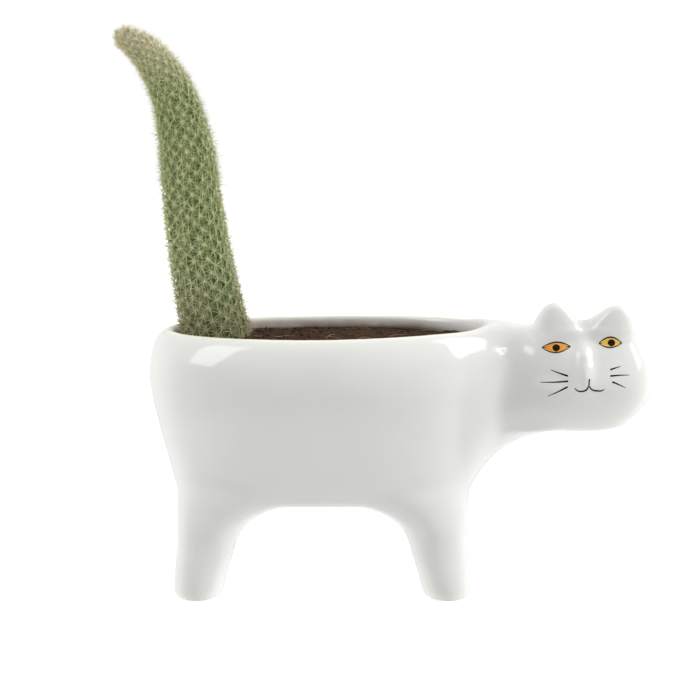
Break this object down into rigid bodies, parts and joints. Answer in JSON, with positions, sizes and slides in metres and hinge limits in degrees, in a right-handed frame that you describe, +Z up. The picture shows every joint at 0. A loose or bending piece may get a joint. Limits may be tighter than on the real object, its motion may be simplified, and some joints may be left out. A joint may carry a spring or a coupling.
{
  "type": "animal shaped planter",
  "caption": "White glazed ceramic planter shaped as a standing cat with its face turned to the side, an open trough in its back, planted with a columnar cactus as the tail.",
  "frame": {"origin": "on the floor, under the middle of the planted pot's box", "axes": "+Z up; the cat's head is at +X and its tail at -X; its face looks along -Y"},
  "size_m": [0.1665, 0.066, 0.1743],
  "materials": {
    "glaze": "white gloss glaze, bare clay at the soles",
    "dark_enamel": "fired-on dark brush lines",
    "iris_enamel": "fired-on amber enamel",
    "silicone": "translucent white silicone",
    "mesh": "moulded dark mesh",
    "gravel": "washed chips",
    "soil": "dark fibrous potting mix",
    "compost": "fibrous compost held by roots",
    "cactus": "ribbed green flesh under pale star-shaped spines"
  },
  "bodies": {
    "planter": {"ceramic_pot": "glaze", "left_eye_outline": "dark_enamel", "left_iris": "iris_enamel", "left_pupil": "dark_enamel", "right_eye_outline": "dark_enamel", "right_iris": "iris_enamel", "right_pupil": "dark_enamel", "mouth": "dark_enamel", "left_whiskers": "dark_enamel", "right_whiskers": "dark_enamel", "drain_mesh": "mesh", "gravel": "gravel", "soil": "soil"},
    "plant": {"root_ball": "compost", "cactus_stem": "cactus"},
    "plug": {"drain_plug": "silicone"}
  },
  "joints": [
    {"name": "plant_lift", "type": "slide", "parent": "planter", "child": "plant", "axis": [0, 0, 1], "range_m": [0, 0.045]},
    {"name": "plug_pull", "type": "slide", "parent": "planter", "child": "plug", "axis": [0, 0, -1], "range_m": [0, 0.016]}
  ]
}
